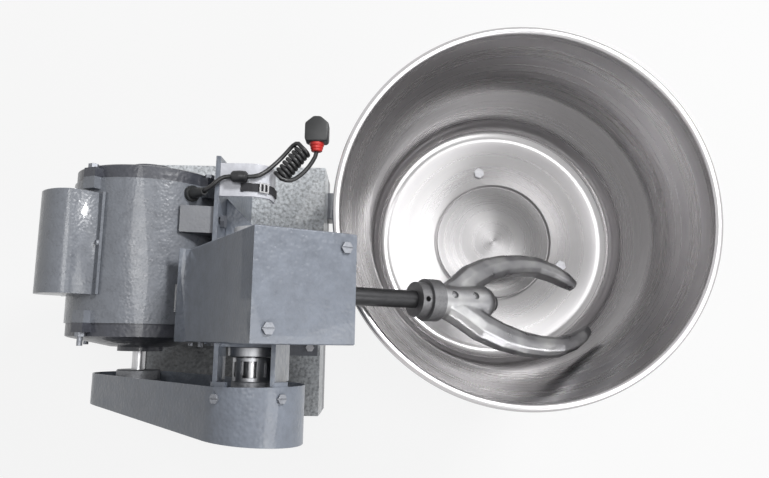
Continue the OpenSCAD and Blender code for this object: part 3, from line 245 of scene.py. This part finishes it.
def steel_bowl():
    """Stainless sheet polished on a lathe, with rings round the axis."""
    material = new_finish("bowl_steel", (0.50, 0.49, 0.495), 1.0, 0.27)
    tree = material.node_tree
    shader = tree.nodes["Principled BSDF"]
    shader.inputs["Anisotropic"].default_value = 0.8
    flat = place_of(material, (bowl_axis.x, bowl_axis.y, 0), (1, 1, 0))
    reach = tree.nodes.new("ShaderNodeVectorMath")
    reach.operation = "LENGTH"
    tree.links.new(flat, reach.inputs[0])
    upright = place_of(material, (bowl_axis.x, bowl_axis.y, 0), (0, 0, 1))
    height = tree.nodes.new("ShaderNodeSeparateXYZ")
    tree.links.new(upright, height.inputs[0])
    rings = tree.nodes.new("ShaderNodeCombineXYZ")
    tree.links.new(reach.outputs["Value"], rings.inputs["X"])
    tree.links.new(height.outputs["Z"], rings.inputs["Z"])
    fine = noise(material, rings.outputs[0], 1400, 3, 0.7)
    relief(material, fine, 0.000003, 0.35)
    spread(material, noise(material, rings.outputs[0], 160, 2, 0.5), 0.26, 0.30)
    bands = noise(material, rings.outputs[0], 70, 3, 0.6)
    polish = tint(material, bands, [(0.3, (0.53, 0.52, 0.53)), (0.7, (0.58, 0.57, 0.57))])
    # Painted reflection: darker on the raised disc, brighter on the floor, brightest on the wall
    painted_reflection_levels = tree.nodes.new("ShaderNodeFloatCurve")
    for far, level in ((0.0, 0.40), (0.395, 0.44), (0.43, 0.62), (0.70, 0.66), (0.82, 0.95)):
        painted_reflection_levels.mapping.curves[0].points.new(far, level)
    painted_reflection_levels.mapping.update()
    far_in_fifths = tree.nodes.new("ShaderNodeMath")
    far_in_fifths.operation = "MULTIPLY"
    far_in_fifths.inputs[1].default_value = 5
    tree.links.new(reach.outputs["Value"], far_in_fifths.inputs[0])
    tree.links.new(far_in_fifths.outputs[0], painted_reflection_levels.inputs["Value"])
    reflected_polish = tree.nodes.new("ShaderNodeVectorMath")
    reflected_polish.operation = "SCALE"
    tree.links.new(polish, reflected_polish.inputs[0])
    tree.links.new(painted_reflection_levels.outputs["Value"], reflected_polish.inputs["Scale"])
    tree.links.new(reflected_polish.outputs[0], shader.inputs["Base Color"])
    around = tree.nodes.new("ShaderNodeTangent")
    around.direction_type = "RADIAL"
    around.axis = "Z"
    tree.links.new(around.outputs[0], shader.inputs["Tangent"])
    return material


def cast_fork():
    """Cast aluminium, rubbed bright where dough runs over it."""
    material = new_finish("fork_casting", (0.56, 0.56, 0.57), 1.0, 0.34)
    place = place_of(material)
    skin = noise(material, place, 260, 6, 0.75)
    rubbed = noise(material, place, 26, 3, 0.6)
    tint(
        material, rubbed, [(0.3, (0.24, 0.24, 0.25)), (0.5, (0.30, 0.30, 0.31)), (0.7, (0.38, 0.38, 0.38))]
    )
    relief(material, skin, 0.0003, 0.55)
    relief(material, rubbed, 0.0006, 0.25)
    spread(material, rubbed, 0.24, 0.42)
    return material


def painted_shadow_and_speckle(material, centre, reach):
    """Painted shadow that darkens the deck round a place below the belt drive, over a speckled skin."""
    tree = material.node_tree
    shader = tree.nodes["Principled BSDF"]
    skin = shader.inputs["Base Color"].links[0].from_socket
    away = tree.nodes.new("ShaderNodeVectorMath")
    away.operation = "LENGTH"
    tree.links.new(place_of(material, centre, (1, 1.2, 0)), away.inputs[0])
    # Painted shadow: darkest at the centre, clearing out towards the reach
    edge = mapped(tree, away.outputs["Value"], (reach * 0.5, reach), (0.1, 1.0))
    grains = noise(material, place_of(material), 230, 3, 0.6)
    speck = mapped(tree, grains, (0.36, 0.56), (0.6, 1.08))
    shade = tree.nodes.new("ShaderNodeMath")
    shade.operation = "MULTIPLY"
    tree.links.new(edge, shade.inputs[0])
    tree.links.new(speck, shade.inputs[1])
    shadowed_skin = tree.nodes.new("ShaderNodeVectorMath")
    shadowed_skin.operation = "SCALE"
    tree.links.new(skin, shadowed_skin.inputs[0])
    tree.links.new(shade.outputs[0], shadowed_skin.inputs["Scale"])
    tree.links.new(shadowed_skin.outputs[0], shader.inputs["Base Color"])


# Painted shadow on the deck, centred below the belt drive
below_belt_drive = spot(-375, -210, 0)
painted_shadow_and_speckle(deck_enamel, below_belt_drive, 0.17)
bowl_steel = steel_bowl()
fork_casting = cast_fork()

nodes_by_finish = [
    (foot_rubber, ["rubber_feet"]),
    (stand_enamel, ["base_rails", "cross_tubes", "hub_plate", "gear_frame", "motor_cradle"]),
    (cast_iron, ["spindle_housing", "driven_pulley", "motor_pulley"]),
    (zinc, ["hub_bolts", "bowl_bolts", "deck_bolts", "tube_bolts"]),
    (bright_steel, ["spindle_bearings", "fork_bearings", "input_bearings", "motor_bearings", "strap_buckle"]),
    (turned_steel, ["spindle", "turntable", "input_shaft", "motor_shaft"]),
    (bowl_steel, ["bowl"]),
    (deck_enamel, ["deck_box"]),
    (bell_enamel, ["fork_bearing_tube", "front_end_bell", "rear_end_bell"]),
    (cover_enamel, ["gear_cover", "motor_plate", "plate_gusset", "belt_guard", "guard_bracket"]),
    (dull_zinc, ["cover_screws", "bell_bolts", "capacitor_screws", "guard_screws"]),
    (machined_iron, ["front_bearing_housing", "rear_bearing_housing", "spacer_sleeve"]),
    (housing_enamel, ["cord_holder"]),
    (gear_steel, ["pinion", "crown_wheel"]),
    (fork_shaft_steel, ["fork_shaft"]),
    (dark_steel, ["shaft_collar", "fork_screws"]),
    (fork_casting, ["fork"]),
    (motor_enamel, ["motor_shell", "capacitor_cover"]),
    (sheet_stack, ["stator_core", "rotor"]),
    (copper, ["stator_windings"]),
    (plug_black, ["capacitor", "lead_gland", "plug"]),
    (belt_rubber, ["drive_belt"]),
    (lead_sheath, ["lead", "wound_lead"]),
    (webbing, ["strap"]),
    (tape, ["tape_wrap"]),
    (brass, ["plug_pins"]),
]
node_finish = {name: made for made, names in nodes_by_finish for name in names}
for name, made in node_finish.items():
    mesh = nodes[name].data
    mesh.materials.clear()
    mesh.materials.append(made)


# Pieces
def finish_piece(shape, name, made, body, hides=(), smooth=35):
    bmesh.ops.remove_doubles(shape, verts=shape.verts, dist=2e-6)
    bmesh.ops.recalc_face_normals(shape, faces=shape.faces)
    mesh = bpy.data.meshes.new(name)
    shape.to_mesh(mesh)
    shape.free()
    return place_piece(mesh, name, made, body, hides, smooth)


def place_piece(mesh, name, made, body, hides=(), smooth=35):
    for face in mesh.polygons:
        face.use_smooth = True
    mesh.set_sharp_from_angle(angle=math.radians(smooth))
    mesh.materials.clear()
    mesh.materials.append(made)
    piece = bpy.data.objects.new(name, mesh)
    scene.collection.objects.link(piece)
    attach(piece, body)
    if hides:
        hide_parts(*hides)
    return piece


def applied(piece):
    """The piece's mesh with its modifiers worked in."""
    bpy.context.view_layer.update()
    worked = piece.evaluated_get(bpy.context.evaluated_depsgraph_get())
    return bpy.data.meshes.new_from_object(worked)


def turned(outline, centre, steps=96, axis=(0, 0, 1)):
    """A closed outline of (radius, height) pairs spun round an axis through a place."""
    shape = bmesh.new()
    corners = [shape.verts.new((r / 1000, 0, h / 1000)) for r, h in outline]
    edges = [shape.edges.new(pair) for pair in zip(corners, corners[1:])]
    bmesh.ops.spin(
        shape, geom=corners + edges, cent=(0, 0, 0), axis=(0, 0, 1), angle=math.tau, steps=steps,
        use_merge=True,
    )
    bmesh.ops.remove_doubles(shape, verts=shape.verts, dist=2e-6)
    turn = Vector((0, 0, 1)).rotation_difference(Vector(axis)).to_matrix().to_4x4()
    bmesh.ops.transform(shape, matrix=Matrix.Translation(centre) @ turn, verts=shape.verts)
    return shape


def own_shape(name):
    """A node's shape with its doubles merged and its flat faces joined."""
    shape = bmesh.new()
    shape.from_mesh(nodes[name].data)
    bmesh.ops.remove_doubles(shape, verts=shape.verts, dist=1e-5)
    bmesh.ops.dissolve_limit(shape, angle_limit=math.radians(0.4), verts=shape.verts, edges=shape.edges)
    return shape


def round_over(shape, chosen, width, segments=3):
    edges = [e for e in shape.edges if len(e.link_faces) == 2 and e.is_convex and chosen(e)]
    bmesh.ops.bevel(
        shape, geom=edges, offset=width / 1000, offset_type="OFFSET", segments=segments, profile=0.5,
        affect="EDGES", clamp_overlap=True, material=-1,
    )


def in_place_of(name, shape):
    body = body_of(nodes[name])[0]
    return finish_piece(shape, name + "_shape", node_finish[name], body, [name])


def eased(name, width, segments=2):
    """A node's shape with its sharp edges broken."""
    piece = in_place_of(name, own_shape(name))
    edge = piece.modifiers.new("edge", "BEVEL")
    edge.width = width / 1000
    edge.segments = segments
    edge.limit_method = "ANGLE"
    edge.angle_limit = math.radians(40)
    edge.harden_normals = True
    return piece


# Lead, with the turns that it is wound in
lead_d = 5.0
lead_way = [
    (-370.4, 18, -25.1), (-362.7, 18, -18.6), (-356.5, 18.8, -13.8), (-350.8, 20.9, -10.8),
    (-346, 24, -10), (-342, 28, -10), (-338, 31.6, -10.3), (-333.2, 34, -10.8),
    (-327.5, 34.8, -11), (-317, 34.8, -11), (-306.5, 34.8, -11), (-301, 35.4, -11.6),
    (-296, 37.2, -13.2), (-291.5, 40.2, -15.6), (-287.4, 44.4, -18.6), (-283.1, 49.5, -22),
    (-278.8, 55, -25.4), (-273.9, 61.3, -28), (-269, 67.6, -29.4), (-264.9, 72.8, -29.6),
    (-261.4, 76.2, -28.2), (-257.8, 77.9, -25.9), (-254.6, 77.4, -23.7),
]
plug_way = [
    (-272.6, 36.4, -23.6), (-267.6, 35.2, -26), (-262.1, 35.6, -28), (-257.2, 38.2, -29.2),
    (-252.2, 42, -30), (-247.2, 46.9, -30), (-242.9, 52.2, -30), (-239.1, 58.1, -30),
    (-236, 64, -30), (-234.6, 70, -30),
]
wound_start = Vector((-276, 37.5, -30))
wound_way = Vector((math.cos(math.radians(52)), math.sin(math.radians(52)), 0))
wound_side = Vector((wound_way.y, -wound_way.x, 0))
turns = 8 + 48 / 360
winding = []
for i in range(int(turns * 16) + 1):
    part = i / (turns * 16)
    angle = math.radians(110) - part * turns * math.tau
    along = 43.6 - part * 42.3
    swell = 7.5 + 0.25 * math.sin(part * 23)
    outward = math.cos(angle) * wound_side + Vector((0, 0, math.sin(angle)))
    winding.append(wound_start + wound_way * along + swell * outward)
cord_way = [Vector(p) for p in lead_way] + winding[:-1] + [Vector(p) for p in plug_way]
curve = bpy.data.curves.new("lead", "CURVE")
curve.dimensions = "3D"
curve.bevel_depth = lead_d / 2000
curve.bevel_resolution = 3
curve.use_fill_caps = True
line = curve.splines.new("POLY")
line.points.add(len(cord_way) - 1)
for point, p in zip(line.points, cord_way):
    point.co = (*spot(p.x, p.y, p.z + rim_z), 1)
curve.materials.append(lead_sheath)
lead = bpy.data.objects.new("lead_cord", curve)
scene.collection.objects.link(lead)
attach(lead, "frame")
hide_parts("lead", "wound_lead")


# Plug with a red collar
plug_x = -234.5


def plug_body():
    shape = bmesh.new()
    half, low_z, high = 13.5, rim_z - 39.5, 0.019
    outline = [
        (-11, 80), (11, 80), (half, 82.5), (half, 102), (4, 110), (-4, 110), (-half, 102), (-half, 82.5),
    ]
    low = [shape.verts.new(spot(plug_x + x, y, low_z)) for x, y in outline]
    face = shape.faces.new(low)
    rise = bmesh.ops.extrude_face_region(shape, geom=[face])
    raised = [v for v in rise["geom"] if isinstance(v, bmesh.types.BMVert)]
    bmesh.ops.translate(shape, vec=(0, 0, high), verts=raised)
    bmesh.ops.bevel(
        shape, geom=shape.edges[:], offset=0.0022, offset_type="OFFSET", segments=3, profile=0.5,
        affect="EDGES", material=-1,
    )
    return shape


plug = finish_piece(plug_body(), "plug_body", plug_black, "frame", ["plug"])
collar = turned(
    [(0, 0), (5.4, 0), (6.4, 0.8), (6.6, 3), (7.2, 3.6), (7.4, 6), (8.0, 6.6), (8.4, 8), (8.4, 10), (0, 10)],
    spot(plug_x, 70, rim_z - 30), 48, (0, 1, 0),
)
plug_collar = finish_piece(collar, "plug_collar", plug_red, "frame")


# Bowl, spun from one sheet with its rim rolled round a wire
def bowl_outline():
    floor_r, corner_w, corner_h, sheet = 146, 26, 32, 1.6

    def corner(angle, inset):
        a = math.radians(angle)
        n = math.hypot(corner_w * math.cos(a), corner_h * math.sin(a))
        return (
            floor_r + corner_w * math.sin(a) - inset * corner_h * math.sin(a) / n,
            95 + corner_h * (1 - math.cos(a)) + inset * corner_w * math.cos(a) / n,
        )

    wall = [
        (173.4, 165), (174.6, 190), (175.6, 212), (176.6, 222), (178.2, 232), (181.5, 246), (190, 273),
        (199, 300),
    ]
    outside = [corner(a, 0) for a in range(0, 91, 10)] + wall
    inside = [corner(a, sheet) for a in range(0, 91, 10)] + [(r - 1.55, h + 0.1) for r, h in wall]
    bead_r, bead_reach, bead_z = 4.5, 208.5, 325.5
    bead = [
        (bead_reach + bead_r * math.cos(math.radians(a)), bead_z + bead_r * math.sin(math.radians(a)))
        for a in range(-110, 171, 20)
    ]
    middle = [(83.5, 96.7), (82, 97.0), (80, 98.0), (78, 98.3), (40, 98.5), (0, 98.6)]
    return [(0, 95)] + [(60, 95)] + outside + bead + inside[::-1] + [(120, 96.6)] + middle


bowl_shape = turned(bowl_outline(), bowl_axis, 192)
finish_piece(bowl_shape, "bowl_sheet", bowl_steel, "bowl_table", ["bowl"], 40)


# Frame of the sloping fork shaft, from the place where it crosses the cross shaft
pitch = math.radians(30)
slope = Matrix.Translation(spot(-277, -97, 410)) @ Matrix.Rotation(pitch, 4, "Y")

# Fork, one casting: hub and two prongs flow into each other
fork_turn = math.radians(20)
hub_start = 206
fork_len = 223
prong_reach = 52
prong = [
    (0.06, 0.1, 13, 16), (0.14, 0.26, 15, 15.5), (0.24, 0.55, 16, 15), (0.36, 0.78, 15, 14.5),
    (0.49, 0.93, 13.5, 14), (0.61, 1, 12.5, 13.5), (0.73, 1, 11.5, 13), (0.84, 0.88, 10.5, 12),
    (0.93, 0.71, 9, 10.5), (0.985, 0.57, 6.5, 7.5),
]
prong_section = [
    (1, -0.35), (1, 0.35), (0.72, 0.85), (0.1, 1), (-0.55, 0.92), (-0.95, 0.5), (-0.95, -0.5), (-0.55, -0.92),
    (0.1, -1), (0.72, -0.85),
]
fork_frame = slope @ Matrix.Translation((hub_start / 1000, 0, 0)) @ Matrix.Rotation(-fork_turn, 4, "X")


def prong_shape(shape, side):
    rings = []
    for i, (along, out, half_w, half_t) in enumerate(prong):
        before, after = prong[max(i - 1, 0)], prong[min(i + 1, len(prong) - 1)]
        a = math.atan2((after[1] - before[1]) * prong_reach, (after[0] - before[0]) * fork_len)
        ring = []
        for w, t in prong_section:
            w, t = w * half_w, t * half_t
            down_shaft = along * fork_len - w * math.sin(a)
            sideways = side * (out * prong_reach + w * math.cos(a))
            ring.append(shape.verts.new(Vector((down_shaft, sideways, t)) / 1000))
        rings.append(ring)
    for a, b in zip(rings, rings[1:]):
        for j in range(len(a)):
            k = (j + 1) % len(a)
            shape.faces.new((a[j], a[k], b[k], b[j]))
    shape.faces.new(rings[0])
    shape.faces.new(rings[-1])


def fork_blank():
    shape = bmesh.new()
    prong_shape(shape, 1)
    prong_shape(shape, -1)
    hub_r, hub_len = 0.0195, 0.06
    turn = Matrix.Translation((hub_len / 2, 0, 0)) @ Matrix.Rotation(math.pi / 2, 4, "Y")
    bmesh.ops.create_cone(
        shape, cap_ends=True, segments=48, radius1=0.0186, radius2=hub_r, depth=hub_len, matrix=turn
    )
    hub_end = Matrix.Translation((hub_len, 0, 0))
    bmesh.ops.create_uvsphere(shape, u_segments=48, v_segments=24, radius=hub_r, matrix=hub_end)
    bmesh.ops.recalc_face_normals(shape, faces=shape.faces)
    return shape


blank = bpy.data.meshes.new("fork_blank")
shape = fork_blank()
shape.to_mesh(blank)
shape.free()
blank_piece = bpy.data.objects.new("fork_blank", blank)
scene.collection.objects.link(blank_piece)
skin = blank_piece.modifiers.new("skin", "REMESH")
skin.mode = "VOXEL"
skin.voxel_size = 0.0012
flow = blank_piece.modifiers.new("flow", "SMOOTH")
flow.factor = 0.5
flow.iterations = 3
casting = applied(blank_piece)
bpy.data.objects.remove(blank_piece)
set_screws_along = (14, 42)
screw_hole_r = 0.0042
holes = bmesh.new()
for along in set_screws_along:
    bmesh.ops.create_cone(
        holes, cap_ends=True, segments=32, radius1=screw_hole_r, radius2=screw_hole_r, depth=0.03,
        matrix=Matrix.Translation((along / 1000, 0, 0.031)),
    )
drill_mesh = bpy.data.meshes.new("drill")
holes.to_mesh(drill_mesh)
holes.free()
drill = bpy.data.objects.new("drill", drill_mesh)
scene.collection.objects.link(drill)
casting_piece = bpy.data.objects.new("casting", casting)
scene.collection.objects.link(casting_piece)
cut = casting_piece.modifiers.new("holes", "BOOLEAN")
cut.operation = "DIFFERENCE"
cut.object = drill
drilled = applied(casting_piece)
bpy.data.objects.remove(casting_piece)
bpy.data.objects.remove(drill)
drilled.transform(fork_frame)
place_piece(drilled, "fork_casting", fork_casting, "fork_drive", ["fork"], 50)


# Sheet covers, folded with a small radius
def folded_cover():
    low_end, high_end, top, half_w, near = 61.5, -34, 85, 49, 0.2
    shape = own_shape("gear_cover")
    back = slope.inverted()

    def on_fold(edge):
        ends = [back @ v.co * 1000 for v in edge.verts]
        walls = [
            all(abs(p.x - low_end) < near for p in ends), all(abs(p.x - high_end) < near for p in ends),
            all(abs(p.z - top) < near for p in ends), all(abs(abs(p.y) - half_w) < near for p in ends),
        ]
        return sum(walls) == 2 and (ends[0] - ends[1]).length > 20

    round_over(shape, on_fold, 2.6, 4)
    return shape


def pressed_guard():
    shape = own_shape("belt_guard")

    def on_rim(edge):
        a, b = (face.normal for face in edge.link_faces)
        return a.angle(b) > 1 and min(a.y, b.y) < -0.9 and edge.verts[0].co.y < -0.15

    round_over(shape, on_rim, 2.4, 4)
    return shape


def domed_capacitor_cover():
    shape = own_shape("capacitor_cover")

    def on_end(edge):
        a, b = (face.normal for face in edge.link_faces)
        return a.angle(b) > 1.2 and max(abs(a.y), abs(b.y)) > 0.9 and edge.calc_length() > 0.0008

    round_over(shape, on_end, 1.8, 3)
    return shape


in_place_of("gear_cover", folded_cover())
in_place_of("belt_guard", pressed_guard())
in_place_of("capacitor_cover", domed_capacitor_cover())
eased_edges = {
    "motor_plate": 0.8, "plate_gusset": 0.8, "cord_holder": 0.7, "motor_shell": 0.8, "front_end_bell": 1,
    "rear_end_bell": 1, "front_bearing_housing": 1, "rear_bearing_housing": 1, "shaft_collar": 1.2,
    "spacer_sleeve": 0.6, "driven_pulley": 0.5, "motor_pulley": 0.5, "motor_cradle": 0.6,
    "guard_bracket": 0.5, "deck_box": 2, "gear_frame": 0.7, "fork_bearing_tube": 0.8, "base_rails": 1.5,
    "cross_tubes": 1.5, "hub_plate": 0.8, "spindle_housing": 1, "turntable": 0.8, "rubber_feet": 1,
    "strap_buckle": 0.3, "bell_bolts": 0.5, "deck_bolts": 0.5, "bowl_bolts": 0.5, "cover_screws": 0.4,
    "guard_screws": 0.3, "tube_bolts": 0.4, "hub_bolts": 0.5, "fork_screws": 0.3, "crown_wheel": 0.3,
    "pinion": 0.3,
}
for name, width in eased_edges.items():
    eased(name, width)


# Floor, and the light of a plain studio
def shown_to(tree):
    """One where the eye, a reflection or glass looks at the backdrop."""
    path = tree.nodes.new("ShaderNodeLightPath")
    value = path.outputs["Is Camera Ray"]
    for ray in ("Is Glossy Ray", "Is Transmission Ray"):
        most = tree.nodes.new("ShaderNodeMath")
        most.operation = "MAXIMUM"
        tree.links.new(value, most.inputs[0])
        tree.links.new(path.outputs[ray], most.inputs[1])
        value = most.outputs[0]
    return value


floor_shape = bmesh.new()
bmesh.ops.create_grid(floor_shape, x_segments=1, y_segments=1, size=6)
floor_mesh = bpy.data.meshes.new("floor")
floor_shape.to_mesh(floor_mesh)
floor_shape.free()
floor = bpy.data.objects.new("floor", floor_mesh)
scene.collection.objects.link(floor)
ground = new_finish("ground", (0.6, 0.6, 0.6), 0.0, 0.9)
floor_mesh.materials.append(ground)
tree = ground.node_tree
shader = tree.nodes["Principled BSDF"]
glow = tree.nodes.new("ShaderNodeEmission")
glow.inputs["Strength"].default_value = 1.0
both = tree.nodes.new("ShaderNodeMixShader")
share = tree.nodes.new("ShaderNodeMath")
share.operation = "MULTIPLY"
share.inputs[1].default_value = 0.86  # the rest of the floor takes the shadow
tree.links.new(shown_to(tree), share.inputs[0])
tree.links.new(share.outputs[0], both.inputs["Fac"])
tree.links.new(shader.outputs["BSDF"], both.inputs[1])
tree.links.new(glow.outputs["Emission"], both.inputs[2])
tree.links.new(both.outputs["Shader"], tree.nodes["Material Output"].inputs["Surface"])

world = bpy.data.worlds.new("studio")
scene.world = world
world.use_nodes = True
tree = world.node_tree
backdrop = tree.nodes["Background"]
backdrop.inputs["Color"].default_value = (1, 1, 1, 1)
fill_level = 0.12
level = mapped(tree, shown_to(tree), (0.0, 1.0), (fill_level, 1.0))
tree.links.new(level, backdrop.inputs["Strength"])


def lamp(name, place, target, size, power, colour=(1, 1, 1)):
    light = bpy.data.lights.new(name, "AREA")
    light.shape = "RECTANGLE"
    light.size, light.size_y = size
    light.energy = power
    light.color = colour
    source = bpy.data.objects.new(name, light)
    scene.collection.objects.link(source)
    way = Vector(target) - Vector(place)
    source.matrix_world = Matrix.Translation(place) @ way.to_track_quat("-Z", "Y").to_matrix().to_4x4()


lamp("window_light", (1.5, 1.35, 2.1), (0.1, 0, 0.25), (0.7, 0.4), 56)
lamp("ceiling_light", (0.1, 0.2, 2.6), (0, 0, 0.2), (1.2, 0.5), 14)
lamp("front_light", (1.7, -1.1, 1.9), (0.1, 0, 0.25), (1.8, 1.0), 26)
